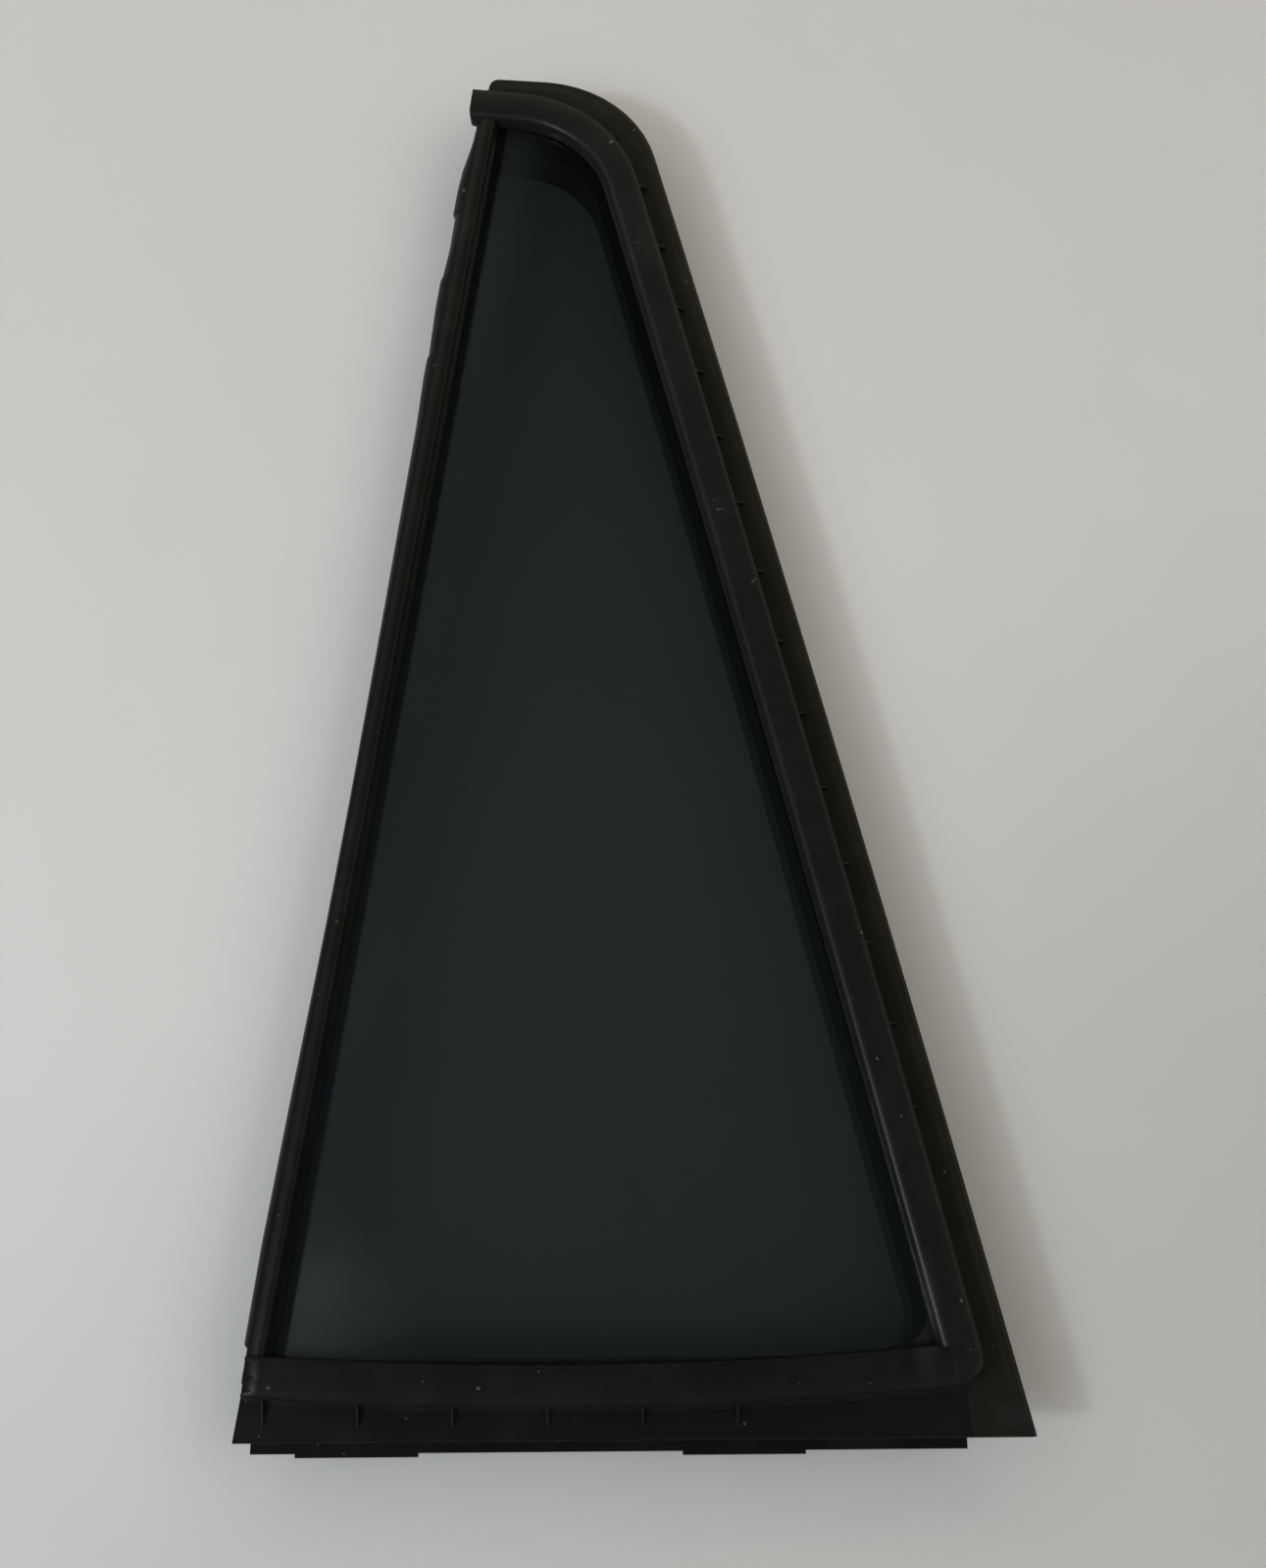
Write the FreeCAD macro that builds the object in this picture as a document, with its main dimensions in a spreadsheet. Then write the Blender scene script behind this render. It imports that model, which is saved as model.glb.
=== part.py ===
import FreeCAD, Part
import Sketcher
import math
import os

# Fixed rear door quarter glass in its moulded rubber seal, lying outer face up.
# Sketch frame: X along the car towards the slanted rear edge, Y up along the door, Z out of the door.
# The skirt's lower edge is Y = 0 and Z = 0 is the face that the seal rests on.

V = FreeCAD.Vector
doc = FreeCAD.newDocument("QuarterGlass")

# Driving sizes, in millimetres and degrees
SIZES = {
    # outline of the seal's outer face
    "skirt_length": 213.0,        # lower edge, from the front corner to the rear corner
    "rear_lean": 12.7,            # rear edge against Y at its lower end
    "rear_radius": 15000.0,       # slight bow of the rear edge
    "top_width": 65.0,            # front edge to rear edge, level with the round corner's centre
    "flange_corner_height": 392.5,  # that centre above the lower edge
    "flange_top_flat": 25.0,      # width left over for the straight top
    "flange_top_lean": 4.6,
    "flange_front_round": 3.5,    # top corner at the front edge
    # daylight opening, the edge of the rubber on the glass
    "sight_corner_drop": 12.6,    # its corner's centre below the flange's
    "sight_corner_tighter": 6.4,  # its radius below the flange's
    "sight_top_lean": 6.5,
    "front_width": 4.6,           # front crown, square to its run
    "rear_width": 19.7,           # rear edge to daylight, square to the run
    "sill_radius": 1200.0,        # bow of the lower daylight edge
    "sill_low_height": 19.4,      # its lowest point above the lower edge
    "sill_low_place": 18.0,       # that point, ahead of the middle
    # heights above the face that the seal rests on
    "glass_seat": 15.0,
    "glass_thickness": 4.0,
    "flange_thickness": 2.5,
    # pane and its channel
    "rear_bite": 7.5,             # rubber over the pane's edge
    "front_wall": 3.2,            # rubber outside the pane's front edge
    "sill_bite": 6.9,             # rubber over the pane's lower edge
    "edge_gap": 0.3,
    "pane_corner": 6.0,
    "pane_arris": 0.4,
    # inner body under the pane
    "lip_reach": 3.0,             # inner face past the daylight edge, rear
    "lip_drop": 2.4,              # and as much more along the top
    "lip_front": 6.0,             # inner face from the front edge
    "lip_sill": 0.6,              # inner face above the lowest daylight
    "lip_corner": 11.0,
    "body_depth": 11.5,           # outer wall past the daylight edge
    "body_sill": 10.0,            # outer wall below the lowest daylight
    "groove_low": 5.0,
    "groove_height": 3.5,
    "groove_depth": 3.5,
    # bead round the daylight opening
    "bead_height": 6.0,
    "bead_width": 11.2,
    "bead_apex": 6.2,             # highest line, from the daylight edge
    "bead_crown": 14.0,           # radius of its top
    "bead_round": 3.2,            # its inner shoulder
    "bead_edge": 0.8,             # its outer edge
    "tab_overhang": 2.7,          # end of the top bead past the front edge
    "rear_bead_overlap": 0.6,     # lower end of the rear bead above the lowest daylight
    "sill_bead_width": 11.0,
    "sill_bead_front": 5.2,       # front end of the lower bead from the skirt's front corner
    "sill_bead_rear": 16.5,       # its rear end from the skirt's rear corner
    "front_bead_height": 4.8,
    "front_bead_apex": 1.8,       # highest line, from the front edge
    "front_bead_crown": 6.0,      # radius of its top
    "front_bead_round": 1.6,      # its outer shoulder
    "front_bead_edge": 2.0,       # its inner edge
    "front_bead_sink": 0.4,       # lower end below the lowest daylight
    "front_bead_overlap": 3.5,    # upper end into the top bead
    "corner_web": 8.0,            # round web in the daylight opening's rear lower corner
    "web_thickness": 1.1,
    "web_sink": 0.3,              # web into the beads
    # upturned lip along the top and rear flange
    "rim_width": 3.4,
    "rim_height": 1.1,
    "rim_foot": 0.4,              # its lower end above the skirt's edge
    "rim_end": 3.4,               # its upper end from the front edge
    # stiffening ribs at the bead's foot
    "rib_height": 3.8,            # at the rear bead's foot
    "sill_rib_height": 2.6,       # at the lower bead's foot
    "rib_thickness": 0.7,
    "rear_rib_length": 3.4,
    "rear_rib_low": 64.1,         # lowest rib on the rear run above the lowest daylight
    "rear_rib_top": 6.5,          # uppermost one above the round corner's centre
    "rear_rib_count": 14,
    "corner_rib_turn": 39.3,      # the rib on the round corner, against X
    "sill_rib_foot": 3.6,         # its lower end above the skirt's edge
    "sill_rib_crest": 10.0,       # where it meets the bead, below the lowest daylight
    "sill_rib_first": 8.6,        # first rib from the skirt's front corner
    "sill_rib_pitch": 25.0,
    "sill_rib_count": 6,
    # thin second lips
    "sill_lip_reach": 3.3,        # past the skirt's lower edge
    "sill_lip_tab": 1.0,
    "sill_lip_low": 10.0,
    "sill_lip_thickness": 2.0,
    "sill_lip_front": 3.5,        # its ends from the skirt's corners
    "sill_lip_rear": 17.1,
    "sill_tab_first": 15.5,       # the two tabs from the skirt's front corner
    "sill_tab_second": 119.5,
    "sill_tab_length": 33.0,
    "front_lip_height": 17.0,
    "front_lip_thickness": 1.2,
    "front_lip_reach": 2.1,       # past the front edge
    "front_lip_waist": 0.9,       # and along its middle
    "front_lip_foot": 27.0,
    "front_lip_top": 7.1,         # its broad upper end below the round corner's centre
    "front_lip_run_out": 20.0,    # from there up to its tip
}

sheet = doc.addObject("Spreadsheet::Sheet", "Sizes")
for row, (alias, number) in enumerate(SIZES.items(), start=1):
    sheet.set(f"A{row}", alias)
    sheet.set(f"B{row}", str(number))
    sheet.setAlias(f"B{row}", alias)
doc.recompute()


class Size:
    """A number together with the spreadsheet expression that drives it."""

    def __init__(self, number, text):
        self.number = number
        self.text = text

    def __add__(self, other):
        other = as_size(other)
        return Size(self.number + other.number, f"({self.text} + {other.text})")

    def __sub__(self, other):
        other = as_size(other)
        return Size(self.number - other.number, f"({self.text} - {other.text})")

    def __mul__(self, other):
        other = as_size(other)
        return Size(self.number * other.number, f"({self.text} * {other.text})")

    def __truediv__(self, other):
        other = as_size(other)
        return Size(self.number / other.number, f"({self.text} / {other.text})")

    def __neg__(self):
        return Size(-self.number, f"(-{self.text})")


def as_size(given):
    return given if isinstance(given, Size) else Size(float(given), str(given))


def of(alias):
    return Size(float(getattr(sheet, alias)), f"Sizes.{alias}")


def sine(angle):
    return Size(math.sin(math.radians(angle.number)), f"sin({angle.text} * 1 deg)")


def cosine(angle):
    return Size(math.cos(math.radians(angle.number)), f"cos({angle.text} * 1 deg)")


def tangent(angle):
    return Size(math.tan(math.radians(angle.number)), f"tan({angle.text} * 1 deg)")


def arc_sine(ratio):
    return Size(math.degrees(math.asin(ratio.number)), f"(asin({ratio.text}) / 1 deg)")


def arc_tangent(ratio):
    return Size(math.degrees(math.atan(ratio.number)), f"(atan({ratio.text}) / 1 deg)")


def root(square):
    return Size(math.sqrt(square.number), f"sqrt({square.text})")


# Places that several sketches share
HALF = of("skirt_length") / 2
BOW_X = HALF - of("rear_radius") * cosine(of("rear_lean"))
BOW_Y = -(of("rear_radius") * sine(of("rear_lean")))
FACE = of("glass_seat") + of("glass_thickness")
SILL = of("sill_low_height")


def rear_x(height, inset):
    """X of the rear edge, moved in by inset, at a height above the skirt's edge."""
    radius = of("rear_radius") - inset
    rise = as_size(height) - BOW_Y
    return BOW_X + root(radius * radius - rise * rise)


# the front edge leans so that the top keeps its width
TOP = of("flange_corner_height")
FRONT_LEAN = arc_tangent((rear_x(TOP, 0) + HALF - of("top_width")) / TOP)


def front_x(height, gap):
    """X of the front edge, moved in by gap, at a height above the skirt's edge."""
    return as_size(height) * tangent(FRONT_LEAN) - HALF + as_size(gap) / cosine(FRONT_LEAN)


def junction_turn(inset, corner_height, corner_radius):
    """Direction, against X, in which the rear side passes into the round corner."""
    return arc_sine((corner_height - BOW_Y) / (of("rear_radius") - inset - corner_radius))


def new_body(label):
    body = doc.addObject("PartDesign::Body", label)
    body.Label = label
    return body


def origin_plane(body, role):
    return next(item for item in body.Origin.OriginFeatures if item.Role == role)


def new_sketch(body, name, height=0, role="XY_Plane"):
    sketch = body.newObject("Sketcher::SketchObject", name)
    sketch.AttachmentSupport = [(origin_plane(body, role), "")]
    sketch.MapMode = "FlatFace"
    sketch.setExpression("AttachmentOffset.Base.z", f"{as_size(height).text} * 1 mm")
    return sketch


def cross_sketch(body, name, spine, edge, along=None):
    """Sketch square to a run's edge: X out of the opening to the right of the run, Y out of the door."""
    sketch = body.newObject("Sketcher::SketchObject", name)
    sketch.AttachmentSupport = [(spine, edge)]
    sketch.MapMode = "NormalToEdge"
    if along is not None:
        sketch.setExpression("MapPathParameter", along.text)
    return sketch


def bind(sketch, kind, *places, to):
    """One driving constraint, tied to the sheet."""
    to = as_size(to)
    unit, start = ("deg", math.radians(to.number)) if kind == "Angle" else ("mm", to.number)
    index = sketch.addConstraint(Sketcher.Constraint(kind, *places, start))
    sketch.setExpression(f"Constraints[{index}]", f"{to.text} * 1 {unit}")


def tie(sketch, *constraints):
    for constraint in constraints:
        sketch.addConstraint(Sketcher.Constraint(*constraint))


def pin_point(sketch, place, x, y):
    """A point at given places; zero stands for the axis itself."""
    for kind, axis, to in (("DistanceX", -2, x), ("DistanceY", -1, y)):
        if isinstance(to, Size) or to:
            bind(sketch, kind, -1, 1, *place, to=to)
        else:
            tie(sketch, ("PointOnObject", *place, axis))


def polygon(sketch, points):
    """Closed outline with straight sides through points tied to the sheet."""
    corners = [V(as_size(x).number, as_size(y).number, 0) for x, y in points]
    count = len(corners)
    for index in range(count):
        sketch.addGeometry(Part.LineSegment(corners[index], corners[(index + 1) % count]))
    for index, (x, y) in enumerate(points):
        tie(sketch, ("Coincident", (index - 1) % count, 2, index, 1))
        pin_point(sketch, (index, 1), x, y)
    return sketch


def side_and_corner(sketch, lower, inset, corner_height, corner_radius, top_lean, until):
    """Bowed rear side from a height lower, the round corner and the top line, as elements 0, 1, 2."""
    bow = V(BOW_X.number, BOW_Y.number, 0)
    side = (of("rear_radius") - inset).number
    radius = corner_radius.number
    rise = corner_height.number - bow.y
    centre = V(bow.x + math.sqrt((side - radius) ** 2 - rise ** 2), corner_height.number, 0)
    turn = math.atan2(rise, centre.x - bow.x)
    low = math.asin((as_size(lower).number - bow.y) / side)
    lean = math.radians(top_lean.number)
    start = centre + V(math.sin(lean), math.cos(lean), 0) * radius
    end = start + V(-1, math.tan(lean), 0) * (start.x - until.number)
    up = V(0, 0, 1)
    sketch.addGeometry(Part.ArcOfCircle(Part.Circle(bow, up, side), low, turn))
    sketch.addGeometry(Part.ArcOfCircle(Part.Circle(centre, up, radius), turn, math.pi / 2 - lean))
    sketch.addGeometry(Part.LineSegment(start, end))
    tie(sketch, ("Tangent", 0, 2, 1, 1), ("Tangent", 1, 2, 2, 1))
    pin_point(sketch, (0, 3), BOW_X, BOW_Y)
    bind(sketch, "Radius", 0, to=of("rear_radius") - inset)
    bind(sketch, "DistanceY", -1, 1, 1, 3, to=corner_height)
    bind(sketch, "Radius", 1, to=corner_radius)
    bind(sketch, "Angle", 2, to=as_size(180) - top_lean)
    return end


def outline(body, name, height, front_gap, foot, inset, corner_height, corner_radius, top_lean):
    """Closed outline: bowed rear side, round corner, top, straight front side and straight foot."""
    sketch = new_sketch(body, name, height)
    low = V(front_x(foot, front_gap).number, as_size(foot).number, 0)
    until = front_x(corner_height + corner_radius, front_gap)
    top = side_and_corner(sketch, foot, inset, corner_height, corner_radius, top_lean, until)
    sketch.addGeometry(Part.LineSegment(low, top))
    sketch.addGeometry(Part.LineSegment(low, V(rear_x(foot, inset).number, low.y, 0)))
    tie(
        sketch,
        ("Coincident", 2, 2, 3, 2),
        ("Coincident", 4, 1, 3, 1),
        ("Coincident", 4, 2, 0, 1),
        ("Horizontal", 4),
    )
    pin_point(sketch, (3, 1), front_x(foot, front_gap), foot)
    bind(sketch, "Angle", 3, to=as_size(90) - FRONT_LEAN)
    return sketch


def open_run(body, name, foot, until, inset, corner_height, corner_radius, top_lean):
    """Path for a sweep: from a height foot up the rear side, round the corner and along the top."""
    sketch = new_sketch(body, name, FACE)
    side_and_corner(sketch, foot, inset, corner_height, corner_radius, top_lean, -until)
    bind(sketch, "DistanceY", -1, 1, 0, 1, to=foot)
    bind(sketch, "DistanceX", 2, 2, -1, 1, to=until)
    return sketch


def add(body, kind, name, **settings):
    feature = body.newObject(f"PartDesign::{kind}", name)
    for key, setting in settings.items():
        setattr(feature, key, setting)
    body.Tip = feature
    return feature


def pad(body, name, sketch, length, both_ways=False):
    feature = add(body, "Pad", name, Profile=sketch)
    feature.Midplane = both_ways
    feature.setExpression("Length", f"{as_size(length).text} * 1 mm")
    sketch.Visibility = False
    return feature


def pocket(body, name, sketch, length):
    feature = add(body, "Pocket", name, Profile=sketch)
    feature.setExpression("Length", f"{as_size(length).text} * 1 mm")
    return feature


def sweep(body, name, spine, profile):
    return add(body, "AdditivePipe", name, Profile=profile, Spine=(spine, []))


def upright_edges(feature, places):
    """Names of the feature's straight edges along Z that stand at the given places."""
    names = []
    for index, edge in enumerate(feature.Shape.Edges, start=1):
        ends = [vertex.Point for vertex in edge.Vertexes]
        if len(ends) != 2 or math.dist(ends[0][:2], ends[1][:2]) > 0.01:
            continue
        if any(math.dist(ends[0][:2], place[:2]) < 0.2 for place in places):
            names.append(f"Edge{index}")
    return names


FLANGE_RADIUS = of("top_width") - of("flange_top_flat")
FLANGE = (TOP, FLANGE_RADIUS, of("flange_top_lean"))
SIGHT = (
    TOP - of("sight_corner_drop"),
    FLANGE_RADIUS - of("sight_corner_tighter"),
    of("sight_top_lean"),
)


def past_sight(reach):
    """Rear inset and corner of an outline that runs outside the daylight edge."""
    height, radius, lean = SIGHT
    return of("rear_width") - reach, height, radius + reach, lean


# The moulded seal
seal = new_body("rubber_seal")

# under-body with the door's retaining groove
GROOVE_TOP = of("groove_low") + of("groove_height")
PLATE_FOOT = FACE - of("flange_thickness")
LEVELS = (
    ("Foot", as_size(0), of("groove_low"), as_size(0)),
    ("Groove", of("groove_low"), GROOVE_TOP, of("groove_depth")),
    ("Shoulder", GROOVE_TOP, PLATE_FOOT, as_size(0)),
)
for level, low, high, inward in LEVELS:
    wall = outline(
        seal, f"{level}Outline", low, 0, SILL - of("body_sill") + inward,
        *past_sight(of("body_depth") - inward),
    )
    pad(seal, level, wall, high - low)

# outer face with its skirt
flange = outline(seal, "FlangeOutline", PLATE_FOOT, 0, 0, as_size(0), *FLANGE)
plate = pad(seal, "Flange", flange, of("flange_thickness"))
doc.recompute()
rounded = add(
    seal, "Fillet", "FlangeCorner",
    Base=(plate, upright_edges(plate, [flange.Geometry[3].EndPoint])),
)
rounded.setExpression("Radius", "Sizes.flange_front_round * 1 mm")


def bead_profile(sketch, width, height, apex, crown, first, last):
    """Section of a bead: upright walls, a shoulder at each side and a gently crowned top."""
    depth = height - crown
    middle = V(apex.number, depth.number, 0)
    up = V(0, 0, 1)
    ends = []
    for x, radius in ((first.number, first.number), (width.number - last.number, last.number)):
        rise = math.sqrt((crown.number - radius) ** 2 - (x - middle.x) ** 2)
        ends.append((V(x, middle.y + rise, 0), math.atan2(rise, x - middle.x), radius))
    (shoulder, turn_in, radius_in), (edge, turn_out, radius_out) = ends
    sketch.addGeometry(Part.LineSegment(V(0, 0, 0), V(0, shoulder.y, 0)))
    sketch.addGeometry(Part.ArcOfCircle(Part.Circle(shoulder, up, radius_in), turn_in, math.pi))
    sketch.addGeometry(Part.ArcOfCircle(Part.Circle(middle, up, crown.number), turn_out, turn_in))
    sketch.addGeometry(Part.ArcOfCircle(Part.Circle(edge, up, radius_out), 0, turn_out))
    sketch.addGeometry(Part.LineSegment(V(width.number, edge.y, 0), V(width.number, 0, 0)))
    sketch.addGeometry(Part.LineSegment(V(width.number, 0, 0), V(0, 0, 0)))
    tie(
        sketch,
        ("Tangent", 0, 2, 1, 2),
        ("Tangent", 1, 1, 2, 2),
        ("Tangent", 2, 1, 3, 2),
        ("Tangent", 3, 1, 4, 1),
        ("Coincident", 4, 2, 5, 1),
        ("Coincident", 5, 2, 0, 1),
        ("Coincident", 0, 1, -1, 1),
        ("Vertical", 0),
        ("Vertical", 4),
        ("Horizontal", 5),
    )
    bind(sketch, "Radius", 1, to=first)
    bind(sketch, "Radius", 3, to=last)
    bind(sketch, "Radius", 2, to=crown)
    bind(sketch, "DistanceX", -1, 1, 2, 3, to=apex)
    bind(sketch, "DistanceY", 2, 3, -1, 1, to=-depth)
    bind(sketch, "DistanceX", 5, 2, 5, 1, to=width)


BEAD = [of(f"bead_{name}") for name in ("height", "apex", "crown", "round", "edge")]
FRONT_BEAD = [of(f"front_bead_{name}") for name in ("height", "apex", "crown", "round", "edge")]

# bead along the rear side, the round corner and the top, out to the tab past the front edge
REAR_FOOT = SILL + of("rear_bead_overlap")
SIGHT_TOP = SIGHT[0] + SIGHT[1]
TAB_END = of("tab_overhang") - front_x(SIGHT_TOP, 0)
run = open_run(seal, "RearBeadRun", REAR_FOOT, TAB_END, of("rear_width"), *SIGHT)
section = cross_sketch(seal, "RearBeadSection", run, "Edge1")
bead_profile(section, of("bead_width"), *BEAD)
sweep(seal, "RearBead", run, section)

# bead along the sill
sill_run = new_sketch(seal, "SillBeadRun", FACE)
sill = of("sill_radius").number
middle = V(-of("sill_low_place").number, SILL.number + sill, 0)
sill_front, sill_rear = HALF - of("sill_bead_front"), HALF - of("sill_bead_rear")
ends = [
    math.asin((x - middle.x) / sill) - math.pi / 2
    for x in (-sill_front.number, sill_rear.number)
]
sill_run.addGeometry(Part.ArcOfCircle(Part.Circle(middle, V(0, 0, 1), sill), *ends))
bind(sill_run, "Radius", 0, to=of("sill_radius"))
bind(sill_run, "DistanceX", 0, 3, -1, 1, to=of("sill_low_place"))
bind(sill_run, "DistanceY", -1, 1, 0, 3, to=SILL + of("sill_radius"))
bind(sill_run, "DistanceX", 0, 1, -1, 1, to=sill_front)
bind(sill_run, "DistanceX", -1, 1, 0, 2, to=sill_rear)
sill_section = cross_sketch(seal, "SillBeadSection", sill_run, "Edge1")
bead_profile(sill_section, of("sill_bead_width"), *BEAD)
sweep(seal, "SillBead", sill_run, sill_section)

# crown along the front edge
front_run = new_sketch(seal, "FrontBeadRun", FACE)
span = [SILL - of("front_bead_sink"), SIGHT_TOP + of("front_bead_overlap")]
foot_point, top_point = [V(front_x(y, 0).number, y.number, 0) for y in span]
front_run.addGeometry(Part.LineSegment(foot_point, top_point))
for end, y in enumerate(span, start=1):
    pin_point(front_run, (0, end), front_x(y, 0), y)
front_section = cross_sketch(seal, "FrontBeadSection", front_run, "Edge1")
bead_profile(front_section, of("front_width"), *FRONT_BEAD)
sweep(seal, "FrontBead", front_run, front_section)

# soft upturned rim along the outer edge of rear flange, corner and top
rim_until = -front_x(TOP + FLANGE_RADIUS, of("rim_end"))
rim_run = open_run(seal, "RimRun", of("rim_foot"), rim_until, as_size(0), *FLANGE)
rim_section = cross_sketch(seal, "RimSection", rim_run, "Edge1")
wide, tall = of("rim_width"), of("rim_height")
rim_radius = (wide * wide / 4 + tall * tall) / (tall * 2)
drop = tall - rim_radius
middle = V(-wide.number / 2, drop.number, 0)
half_turn = math.asin(wide.number / 2 / rim_radius.number)
rim_section.addGeometry(Part.ArcOfCircle(
    Part.Circle(middle, V(0, 0, 1), rim_radius.number),
    math.pi / 2 - half_turn, math.pi / 2 + half_turn,
))
rim_section.addGeometry(Part.LineSegment(V(-wide.number, 0, 0), V(0, 0, 0)))
tie(
    rim_section,
    ("Coincident", 0, 2, 1, 1),
    ("Coincident", 1, 2, 0, 1),
    ("Coincident", 1, 2, -1, 1),
    ("Horizontal", 1),
)
bind(rim_section, "Radius", 0, to=rim_radius)
bind(rim_section, "DistanceX", 1, 1, 1, 2, to=wide)
sweep(seal, "Rim", rim_run, rim_section)

# round web in the daylight opening's rear lower corner
web = new_sketch(seal, "WebOutline", FACE)
round_web = of("corner_web")
from_low = rear_x(SILL, of("rear_width") + round_web) + of("sill_low_place")
sill_y = SILL + from_low * from_low / (of("sill_radius") * 2)
web_y = sill_y + round_web - of("web_sink")
web_x = rear_x(web_y, of("rear_width") + round_web - of("web_sink"))
centre = V(web_x.number, web_y.number, 0)
turn = math.radians(of("rear_lean").number)
web.addGeometry(
    Part.ArcOfCircle(Part.Circle(centre, V(0, 0, 1), round_web.number), -math.pi / 2, turn)
)
far_x = rear_x(sill_y, of("rear_width")) + 2
far_y = sill_y - 2
far = V(far_x.number, far_y.number, 0)
arc = web.Geometry[0]
web.addGeometry(Part.LineSegment(arc.EndPoint, far))
web.addGeometry(Part.LineSegment(far, arc.StartPoint))
tie(
    web,
    ("Coincident", 0, 2, 1, 1),
    ("Coincident", 1, 2, 2, 1),
    ("Coincident", 2, 2, 0, 1),
    ("Vertical", 0, 1, 0, 3),
)
pin_point(web, (0, 3), web_x, web_y)
bind(web, "Radius", 0, to=round_web)
bind(web, "DistanceY", 0, 3, 0, 2, to=round_web * sine(of("rear_lean")))
pin_point(web, (1, 2), far_x, far_y)
pad(seal, "Web", web, of("web_thickness"))

# second lip below the skirt, with its two tabs
REACH = -of("sill_lip_reach")
LIP_TOP = SILL - of("body_sill") + of("sill_lip_thickness")
lip = new_sketch(seal, "SillLipOutline", of("sill_lip_low"))
lip_ends = (of("sill_lip_front") - HALF, HALF - of("sill_lip_rear"))
polygon(lip, [
    (lip_ends[0], REACH), (lip_ends[1], REACH), (lip_ends[1], LIP_TOP), (lip_ends[0], LIP_TOP),
])
pad(seal, "SillLip", lip, of("sill_lip_thickness"))
for name in ("first", "second"):
    front = of(f"sill_tab_{name}") - HALF
    rear = front + of("sill_tab_length")
    tabs = new_sketch(seal, f"SillTab{name.title()}Outline", of("sill_lip_low"))
    polygon(tabs, [
        (front, REACH - of("sill_lip_tab")), (rear, REACH - of("sill_lip_tab")),
        (rear, REACH + of("sill_lip_tab")), (front, REACH + of("sill_lip_tab")),
    ])
    pad(seal, f"SillTab{name.title()}", tabs, of("sill_lip_thickness"))

# thin lip along the front edge, drawn in at its middle
fin = new_sketch(seal, "FrontLipOutline", of("front_lip_height"))
foot, top = of("front_lip_foot"), TOP - of("front_lip_top")
stations = [(0, "reach"), (0.07, "reach"), (0.28, "waist"), (0.45, "waist"), (0.73, "reach"), (1, "reach")]
outer = []
for part, name in stations:
    y = foot + (top - foot) * part
    outer.append((front_x(y, -of(f"front_lip_{name}")), y))
tip = top + of("front_lip_run_out")
polygon(fin, outer + [(front_x(tip, 0), tip), (front_x(top, 1), top), (front_x(foot, 1), foot)])
pad(seal, "FrontLip", fin, of("front_lip_thickness"))

# stiffening ribs at the rear bead's foot: one on the corner, the others down the side
RIB_FOOT = of("bead_width") + of("rear_rib_length")
SIGHT_TURN = junction_turn(of("rear_width"), *SIGHT[:2])


def rear_turn(height):
    return arc_sine((as_size(height) - BOW_Y) / (of("rear_radius") - of("rear_width")))


corner_place = (of("corner_rib_turn") - SIGHT_TURN) / (as_size(90) - of("sight_top_lean") - SIGHT_TURN)
low_turn, foot_turn = rear_turn(SILL + of("rear_rib_low")), rear_turn(REAR_FOOT)
side_place = (low_turn - foot_turn) / (SIGHT_TURN - foot_turn)
ribs = []
for name, edge, along in (("CornerRib", "Edge2", corner_place), ("SideRib", "Edge1", side_place)):
    gusset = cross_sketch(seal, f"{name}Outline", run, edge, along)
    root_x = of("bead_width") - 1
    polygon(gusset, [
        (root_x, 0), (RIB_FOOT, 0), (of("bead_width"), of("rib_height")), (root_x, of("rib_height")),
    ])
    ribs.append(pad(seal, name, gusset, of("rib_thickness"), both_ways=True))
centre_mark = new_sketch(seal, "RearCentre")
centre_mark.setExpression("AttachmentOffset.Base.x", f"{BOW_X.text} * 1 mm")
centre_mark.setExpression("AttachmentOffset.Base.y", f"{BOW_Y.text} * 1 mm")
side_ribs = add(
    seal, "PolarPattern", "SideRibs", Originals=[ribs[1]], Axis=(centre_mark, ["N_Axis"])
)
side_ribs.setExpression("Occurrences", "Sizes.rear_rib_count")
fan = rear_turn(SIGHT[0] + of("rear_rib_top")) - low_turn
side_ribs.setExpression("Angle", f"{fan.text} * 1 deg")

# the same along the sill
upright = new_sketch(seal, "SillRibOutline", of("sill_rib_first") - HALF, "YZ_Plane")
crest = SILL - of("sill_rib_crest")
ledge = SILL - of("sill_bead_width") / 2
polygon(upright, [
    (of("sill_rib_foot"), FACE), (ledge, FACE),
    (ledge, FACE + of("sill_rib_height")), (crest, FACE + of("sill_rib_height")),
])
sill_rib = pad(seal, "SillRib", upright, of("rib_thickness"), both_ways=True)
sill_ribs = add(
    seal, "LinearPattern", "SillRibs", Originals=[sill_rib], Direction=(upright, ["N_Axis"])
)
sill_ribs.setExpression("Occurrences", "Sizes.sill_rib_count")
sill_span = of("sill_rib_pitch") * (of("sill_rib_count") - 1)
sill_ribs.setExpression("Length", f"{sill_span.text} * 1 mm")

# channel for the pane and the open inner side under it
seat = outline(
    seal, "ChannelOutline", FACE, of("front_wall"), SILL - of("sill_bite"),
    *past_sight(of("rear_bite")),
)
channel = pocket(seal, "Channel", seat, of("glass_thickness"))
reach = of("lip_reach")
inset, height, radius, lean = past_sight(-reach)
inner = outline(
    seal, "InnerOutline", of("glass_seat"), of("lip_front"), SILL + of("lip_sill"),
    inset, height - of("lip_drop"), radius, lean,
)
opening = pocket(seal, "Inner", inner, of("glass_seat"))
doc.recompute()
softened = add(
    seal, "Fillet", "InnerCorner",
    Base=(opening, upright_edges(opening, [inner.Geometry[0].StartPoint])),
)
softened.setExpression("Radius", "Sizes.lip_corner * 1 mm")

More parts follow.
